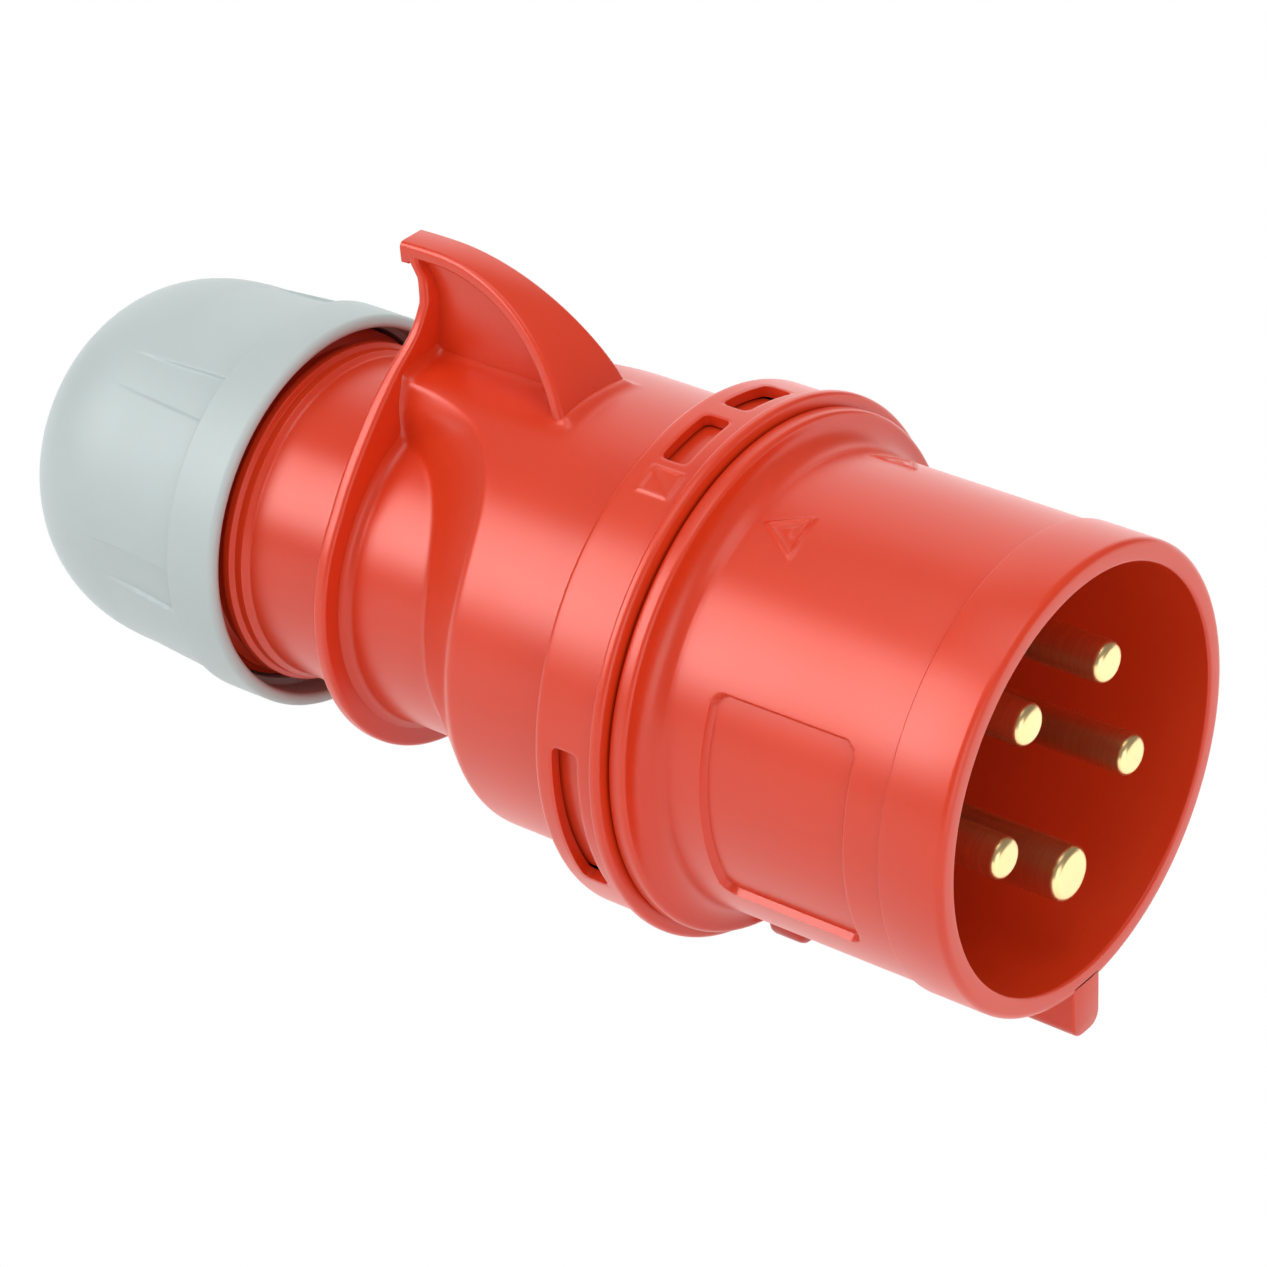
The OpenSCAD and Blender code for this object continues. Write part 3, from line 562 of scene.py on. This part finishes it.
# ---------------------------------------------------------------------------
# Guard: the rear plate of the handle, round below and drawn up into the fin's rear wall.
# Its upper end leans forward and then curls back to the fin's tip.
# ---------------------------------------------------------------------------
right_side = [(2.6, 48.6), (2.6, 46.8), (3.0, 45.0), (3.6, 43.0), (4.2, 41.0), (5.0, 39.0), (6.3, 37.0),
              (8.6, 34.8), (11.6, 32.0), (15.2, 28.3), (18.8, 24.2), (22.0, 20.0)]
arc = [(29.2 * math.sin(t), 29.2 * math.cos(t)) for t in np.radians(np.arange(54, 181, 2))]
half = np.array(right_side + arc)
flow = np.concatenate([[0], np.cumsum(np.hypot(*np.diff(half, axis=0).T))])
even = np.linspace(0, flow[-1], 150)
half = np.stack([np.interp(even, flow, half[:, 0]), np.interp(even, flow, half[:, 1])], axis=1)
for _ in range(6):
    half[1:-1] = (half[:-2] + 2 * half[1:-1] + half[2:]) / 4
mirrored = half[::-1][1:] * [-1, 1]
guard_outline = np.concatenate([half, mirrored])


def guard_place(p, h):
    z = p[:, 1]
    lean = np.interp(z, [30, 34, 38, 42, 45, 47, 50], [0, -0.2, -1.0, -1.5, -0.7, 0.9, 1.7])
    thin = np.interp(z, [30, 38, 50], [1.0, 0.8, 0.75])
    return np.stack([-(108.6 + lean + (h - 108.6) * thin), p[:, 0], z], axis=1)


guard = slab("handle_guard", guard_outline, guard_front, 109.75, 0.7, guard_place, steps=4, crease=50)
coat(guard, red, "grip")

# ---------------------------------------------------------------------------
# Fin: an arched front plate that widens towards its foot, a small lip at the tip, and a thin
# web behind it.
# ---------------------------------------------------------------------------
plate_t = 1.9
arc_r, arc_s, arc_z = 27.1, 106, 21.75    # the arch of the plate, seen from the side
path = [(111.7, 48.75), (110.5, 48.8), (109.0, 48.85), (107.5, 48.85)]
for t in np.radians(np.arange(88, 20.9, -3.2)):
    path.append((arc_s - arc_r * math.cos(t), arc_z + arc_r * math.sin(t)))
path = np.array(path) - [0, 0.23]
along = np.gradient(path, axis=0)
along /= np.linalg.norm(along, axis=1)[:, None]
out_dir = np.stack([along[:, 1], -along[:, 0]], axis=1)
out_dir[out_dir[:, 1] < 0] *= -1
fin_points = []
fin_faces = []
section = None
for (s, z), (ns, nz) in zip(path, out_dir):
    width = max(5.2, 5.2 + 8.8 * min(1.0, max(0.0, (48.6 - z) / 15.6)))
    half_w = width / 2
    section = rounded([(-half_w, -plate_t / 2, 0.35), (half_w, -plate_t / 2, 0.35),
                       (half_w, plate_t / 2, 0.7), (-half_w, plate_t / 2, 0.7)], 4)
    crown = 0.25 * (1 - (section[:, 0] / half_w) ** 2)
    lip = 1.1 * float(smoothstep((s - 108.8) / 1.6))
    for (y, t), c in zip(section, crown):
        t = t + (c if t > 0 else -lip)
        fin_points.append((-(s + ns * t), y, z + nz * t))
m = len(section)
for i in range(len(path) - 1):
    for j in range(m):
        j2 = (j + 1) % m
        fin_faces.append([i * m + j, i * m + j2, (i + 1) * m + j2, (i + 1) * m + j])
fin_faces.append(list(range(m))[::-1])
fin_faces.append([(len(path) - 1) * m + j for j in range(m)])
fin = add_mesh("handle_fin_plate", fin_points, fin_faces, 50)
coat(fin, red, "grip")

web_outline = [(108.2, 31.5), (107.6, 36.0), (107.3, 40.0), (107.6, 44.0), (108.6, 46.6),
               (109.4, 48.4), (106.0, 48.6)]
for t in np.radians(np.arange(84, 21, -5)):
    web_outline.append((arc_s - (arc_r - 0.3) * math.cos(t), arc_z + (arc_r - 0.3) * math.sin(t)))
web_outline.append((81.5, 31.0))
web = slab("handle_fin_web", web_outline, -1.25, 1.25, 0.05,
           lambda p, h: np.stack([-p[:, 0], 0 * p[:, 0] + h, p[:, 1]], axis=1), steps=1)
coat(web, red, "grip")

# ---------------------------------------------------------------------------
# Gland nut: collar, six shallow flutes that run out on the dome, and the cable entry.
# ---------------------------------------------------------------------------
dome = [(151.75 + 23.45 * math.sin(t) ** 0.83, 5.3 + 22.5 * math.cos(t) ** 0.83)
        for t in np.radians(np.concatenate([[0.5, 1.5, 3], np.linspace(5, 72.5, 22)]))]
nut_front, nut_back = 128.25, 174.34
bore_r, nut_thread_r, flute_end = 12.5, 26.95, 157.0
nut_loop = rounded([
    (nut_front, 27.7, 0.8), (nut_front, 29.65, 1.1), (136.9, 29.65, 0.45), (137.2, 28.95, 0.35)]
    + [(151.7, 27.82, 0)] + [(p[0], p[1], 0) for p in dome]
    + [(nut_back, 13.4, 0.3), (nut_back, bore_r, 0.5), (168.4, bore_r, 0.3), (168.4, 15.5, 0),
       (152.5, 24.9, 0), (146.2, 24.9, 0), (146.2, nut_thread_r, 0),
       (134.0, nut_thread_r, 0), (133.3, 27.7, 0)])
nut_loop = fill_rows(nut_loop, 137.0, 160.0, 0.4)
nut_angles = np.unique(np.round(np.concatenate(
    [np.arange(0, 360, 1.25)] + [np.arange(26 + 60 * k, 44 + 60 * k, 0.45) for k in range(6)]) % 360, 3))


def nut_shape(s, r, a):
    """Sinks the flutes behind the collar; they fade out before the dome."""
    deg = np.degrees(a)
    local = (deg - 27.6) % 60
    local = np.where(local > 40, local - 60, local)
    width = 14.5 - 2.5 * (s - 137.2) / 17
    depth = 0.55 * smoothstep((flute_end - s) / 12)
    mask = smoothstep(local / 0.9 + 0.5) * smoothstep((width - local) / 1.1 + 0.5)
    outer = (r > 24.5) & (s > 137.25) & (s < 157.5) & (r > 27.0 - (s - 137) * 0.09)
    r = np.where(outer, r - depth * mask, r)
    return s, r


nut = lathe("nut_shell", nut_loop, nut_angles, nut_shape)
coat(nut, grey, "nut")
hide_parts("gland_nut")

# ---------------------------------------------------------------------------
# Contacts: the four equal pins are one turned pin set round the pin circle by a geometry
# tree, and the thicker earth pin stands below.
# ---------------------------------------------------------------------------
pin_circle = 0.0157


def pin_loop(radius):
    """Outline of a contact: round tip, shaft, thicker shank and a hollow terminal."""
    return rounded([
        (2.1, 0.05, 0), (2.1, radius, 1.25), (47.8, radius, 0), (47.8, radius + 0.4, 0),
        (56.0, radius + 0.4, 0), (56.0, 5.2, 0.3), (71.0, 5.2, 0.3), (71.0, 2.8, 0.3),
        (60.0, 2.8, 0), (60.0, 0.05, 0)], 7)


small_pin = lathe("turned_pin", pin_loop(3.0), np.arange(0, 360, 6))
small_pin.data.materials.append(brass)
tree = bpy.data.node_groups.new("Pins on a circle", "GeometryNodeTree")
tree.interface.new_socket("Pin", in_out="INPUT", socket_type="NodeSocketObject")
tree.interface.new_socket("Circle radius", in_out="INPUT", socket_type="NodeSocketFloat")
tree.interface.new_socket("Pins", in_out="INPUT", socket_type="NodeSocketInt")
tree.interface.new_socket("Pitch", in_out="INPUT", socket_type="NodeSocketFloat")
tree.interface.new_socket("Material", in_out="INPUT", socket_type="NodeSocketMaterial")
tree.interface.new_socket("Geometry", in_out="OUTPUT", socket_type="NodeSocketGeometry")
t_in = tree.nodes.new("NodeGroupInput")
t_out = tree.nodes.new("NodeGroupOutput")
points = tree.nodes.new("GeometryNodePoints")
tree.links.new(t_in.outputs["Pins"], points.inputs["Count"])
index = tree.nodes.new("GeometryNodeInputIndex")
plus = tree.nodes.new("ShaderNodeMath")
plus.inputs[1].default_value = 1.0
tree.links.new(index.outputs[0], plus.inputs[0])
angle = tree.nodes.new("ShaderNodeMath")
angle.operation = "MULTIPLY"
tree.links.new(plus.outputs[0], angle.inputs[0])
tree.links.new(t_in.outputs["Pitch"], angle.inputs[1])
down = tree.nodes.new("ShaderNodeCombineXYZ")
minus = tree.nodes.new("ShaderNodeMath")
minus.operation = "MULTIPLY"
minus.inputs[1].default_value = -1.0
tree.links.new(t_in.outputs["Circle radius"], minus.inputs[0])
tree.links.new(minus.outputs[0], down.inputs["Z"])
spin = tree.nodes.new("ShaderNodeVectorRotate")
spin.rotation_type = "X_AXIS"
tree.links.new(down.outputs[0], spin.inputs["Vector"])
tree.links.new(angle.outputs[0], spin.inputs["Angle"])
tree.links.new(spin.outputs[0], points.inputs["Position"])
info = tree.nodes.new("GeometryNodeObjectInfo")
tree.links.new(t_in.outputs["Pin"], info.inputs["Object"])
put = tree.nodes.new("GeometryNodeInstanceOnPoints")
tree.links.new(points.outputs[0], put.inputs["Points"])
tree.links.new(info.outputs["Geometry"], put.inputs["Instance"])
real = tree.nodes.new("GeometryNodeRealizeInstances")
tree.links.new(put.outputs[0], real.inputs[0])
paint = tree.nodes.new("GeometryNodeSetMaterial")
tree.links.new(real.outputs[0], paint.inputs["Geometry"])
tree.links.new(t_in.outputs["Material"], paint.inputs["Material"])
tree.links.new(paint.outputs[0], t_out.inputs[0])

carrier = bpy.data.objects.new("pin_source", bpy.data.meshes.new("pin_source"))
bpy.context.scene.collection.objects.link(carrier)
mod = carrier.modifiers.new("pins", "NODES")
mod.node_group = tree
ids = {i.name: i.identifier for i in tree.interface.items_tree if i.in_out == "INPUT"}
mod[ids["Pin"]] = small_pin
mod[ids["Circle radius"]] = pin_circle
mod[ids["Pins"]] = 4
mod[ids["Pitch"]] = math.radians(72)
mod[ids["Material"]] = brass
bpy.context.view_layer.update()
deps = bpy.context.evaluated_depsgraph_get()
phase_mesh = bpy.data.meshes.new_from_object(carrier.evaluated_get(deps))
phase = bpy.data.objects.new("phase_pins", phase_mesh)
bpy.context.scene.collection.objects.link(phase)
bpy.data.objects.remove(carrier)
bpy.data.objects.remove(small_pin)
coat(phase, brass, "front")
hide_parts("pin_l1", "pin_l2", "pin_l3", "pin_neutral")
earth = lathe("earth_pin", pin_loop(4.0), np.arange(0, 360, 5))
earth.data.transform(Matrix.Translation((0, 0, -pin_circle)))
coat(earth, brass, "front")
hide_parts("pin_earth")

# ---------------------------------------------------------------------------
# Stage: a floor that the camera sees as plain white, a pale surround with two brighter patches
# that shows in reflections, soft boxes above, beside and in front, and a long lens.
# ---------------------------------------------------------------------------
floor_mesh = bpy.data.meshes.new("floor")
floor_z = -0.0408
floor_corners = [(x, y, floor_z) for x, y in ((-3, -3), (3, -3), (3, 3), (-3, 3))]
floor_mesh.from_pydata(floor_corners, [], [(0, 1, 2, 3)])
floor = bpy.data.objects.new("floor", floor_mesh)
bpy.context.scene.collection.objects.link(floor)
floor_mat = bpy.data.materials.new("Floor")
floor_mat.use_nodes = True
nt = floor_mat.node_tree
principled = nt.nodes["Principled BSDF"]
principled.inputs["Base Color"].default_value = (0.7, 0.7, 0.7, 1)
principled.inputs["Roughness"].default_value = 0.9
white = nt.nodes.new("ShaderNodeEmission")
white.inputs["Color"].default_value = (1, 1, 1, 1)
ray = nt.nodes.new("ShaderNodeLightPath")
mix = nt.nodes.new("ShaderNodeMixShader")
nt.links.new(ray.outputs["Is Camera Ray"], mix.inputs["Fac"])
shine = nt.nodes.new("ShaderNodeEmission")
add = nt.nodes.new("ShaderNodeAddShader")
nt.links.new(ray.outputs["Is Glossy Ray"], shine.inputs["Strength"])
nt.links.new(principled.outputs[0], add.inputs[0])
nt.links.new(shine.outputs[0], add.inputs[1])
nt.links.new(add.outputs[0], mix.inputs[1])
nt.links.new(white.outputs[0], mix.inputs[2])
nt.links.new(mix.outputs[0], nt.nodes["Material Output"].inputs["Surface"])
floor_mesh.materials.append(floor_mat)

world = bpy.data.worlds.new("Studio")
world.use_nodes = True
bpy.context.scene.world = world
wt = world.node_tree
back = wt.nodes["Background"]
back.inputs["Color"].default_value = (1, 1, 1, 1)
surround_ray = wt.nodes.new("ShaderNodeLightPath")
surround_dir = wt.nodes.new("ShaderNodeTexCoord")
surround_mix = wt.nodes.new("ShaderNodeMix")
surround_mix.inputs["A"].default_value = 0.66
seen_mix = wt.nodes.new("ShaderNodeMix")
seen_mix.inputs["B"].default_value = 1.0
mirrored = None
# Each patch: its azimuth and height, the angles where it is full and gone, and its strength
patches = ((-130, 34, 15, 24, 7.0), (128, 20, 22, 44, 1.4))
for azimuth, height, inner, outer, strength in patches:
    az, el = math.radians(azimuth), math.radians(height)
    facing = wt.nodes.new("ShaderNodeVectorMath")
    facing.operation = "DOT_PRODUCT"
    facing.inputs[1].default_value = (
        math.cos(el) * math.cos(az), math.cos(el) * math.sin(az), math.sin(el))
    patch = wt.nodes.new("ShaderNodeMapRange")
    patch.interpolation_type = "SMOOTHSTEP"
    patch.inputs["From Min"].default_value = math.cos(math.radians(outer))
    patch.inputs["From Max"].default_value = math.cos(math.radians(inner))
    patch.inputs["To Min"].default_value = 0.15
    patch.inputs["To Max"].default_value = strength + 0.15
    wt.links.new(surround_dir.outputs["Generated"], facing.inputs[0])
    wt.links.new(facing.outputs["Value"], patch.inputs["Value"])
    if mirrored is None:
        mirrored = patch.outputs["Result"]
    else:
        total = wt.nodes.new("ShaderNodeMath")
        wt.links.new(mirrored, total.inputs[0])
        wt.links.new(patch.outputs["Result"], total.inputs[1])
        mirrored = total.outputs[0]
wt.links.new(surround_ray.outputs["Is Glossy Ray"], surround_mix.inputs["Factor"])
wt.links.new(mirrored, surround_mix.inputs["B"])
wt.links.new(surround_ray.outputs["Is Camera Ray"], seen_mix.inputs["Factor"])
wt.links.new(surround_mix.outputs["Result"], seen_mix.inputs["A"])
wt.links.new(seen_mix.outputs["Result"], back.inputs["Strength"])


def softbox(name, place, aim, size, power):
    lamp = bpy.data.lights.new(name, "AREA")
    lamp.shape = "RECTANGLE"
    lamp.size, lamp.size_y = size
    lamp.energy = power
    obj = bpy.data.objects.new(name, lamp)
    bpy.context.scene.collection.objects.link(obj)
    d = Vector(aim) - Vector(place)
    obj.matrix_world = Matrix.Translation(place) @ d.to_track_quat("-Z", "Y").to_matrix().to_4x4()
    return obj


softbox("overhead", (-0.08, -0.12, 0.95), (-0.08, 0, 0), (0.9, 0.5), 2.6)
softbox("left", (-0.55, -0.75, 0.35), (-0.08, 0, 0), (0.6, 0.5), 1.4)
softbox("front", (0.75, -0.35, 0.15), (-0.05, 0, 0), (0.5, 0.5), 1.7)

cam_data = bpy.data.cameras.new("camera")
cam_data.sensor_width = 36
cam_data.lens = 138.6
cam_data.clip_start = 0.01
cam_data.clip_end = 20
cam = bpy.data.objects.new("camera", cam_data)
bpy.context.scene.collection.objects.link(cam)
cam.matrix_world = Matrix((
    (0.78500, -0.28864, 0.54815, 0.29837),
    (0.61758, 0.43424, -0.65577, -0.44769),
    (-0.04875, 0.85330, 0.51914, 0.35152),
    (0, 0, 0, 1)))
bpy.context.scene.camera = cam

scene = bpy.context.scene
scene.render.engine = "CYCLES"
scene.view_settings.view_transform = "Standard"
scene.view_settings.look = "None"
scene.render.resolution_x = 1024
scene.render.resolution_y = 1024
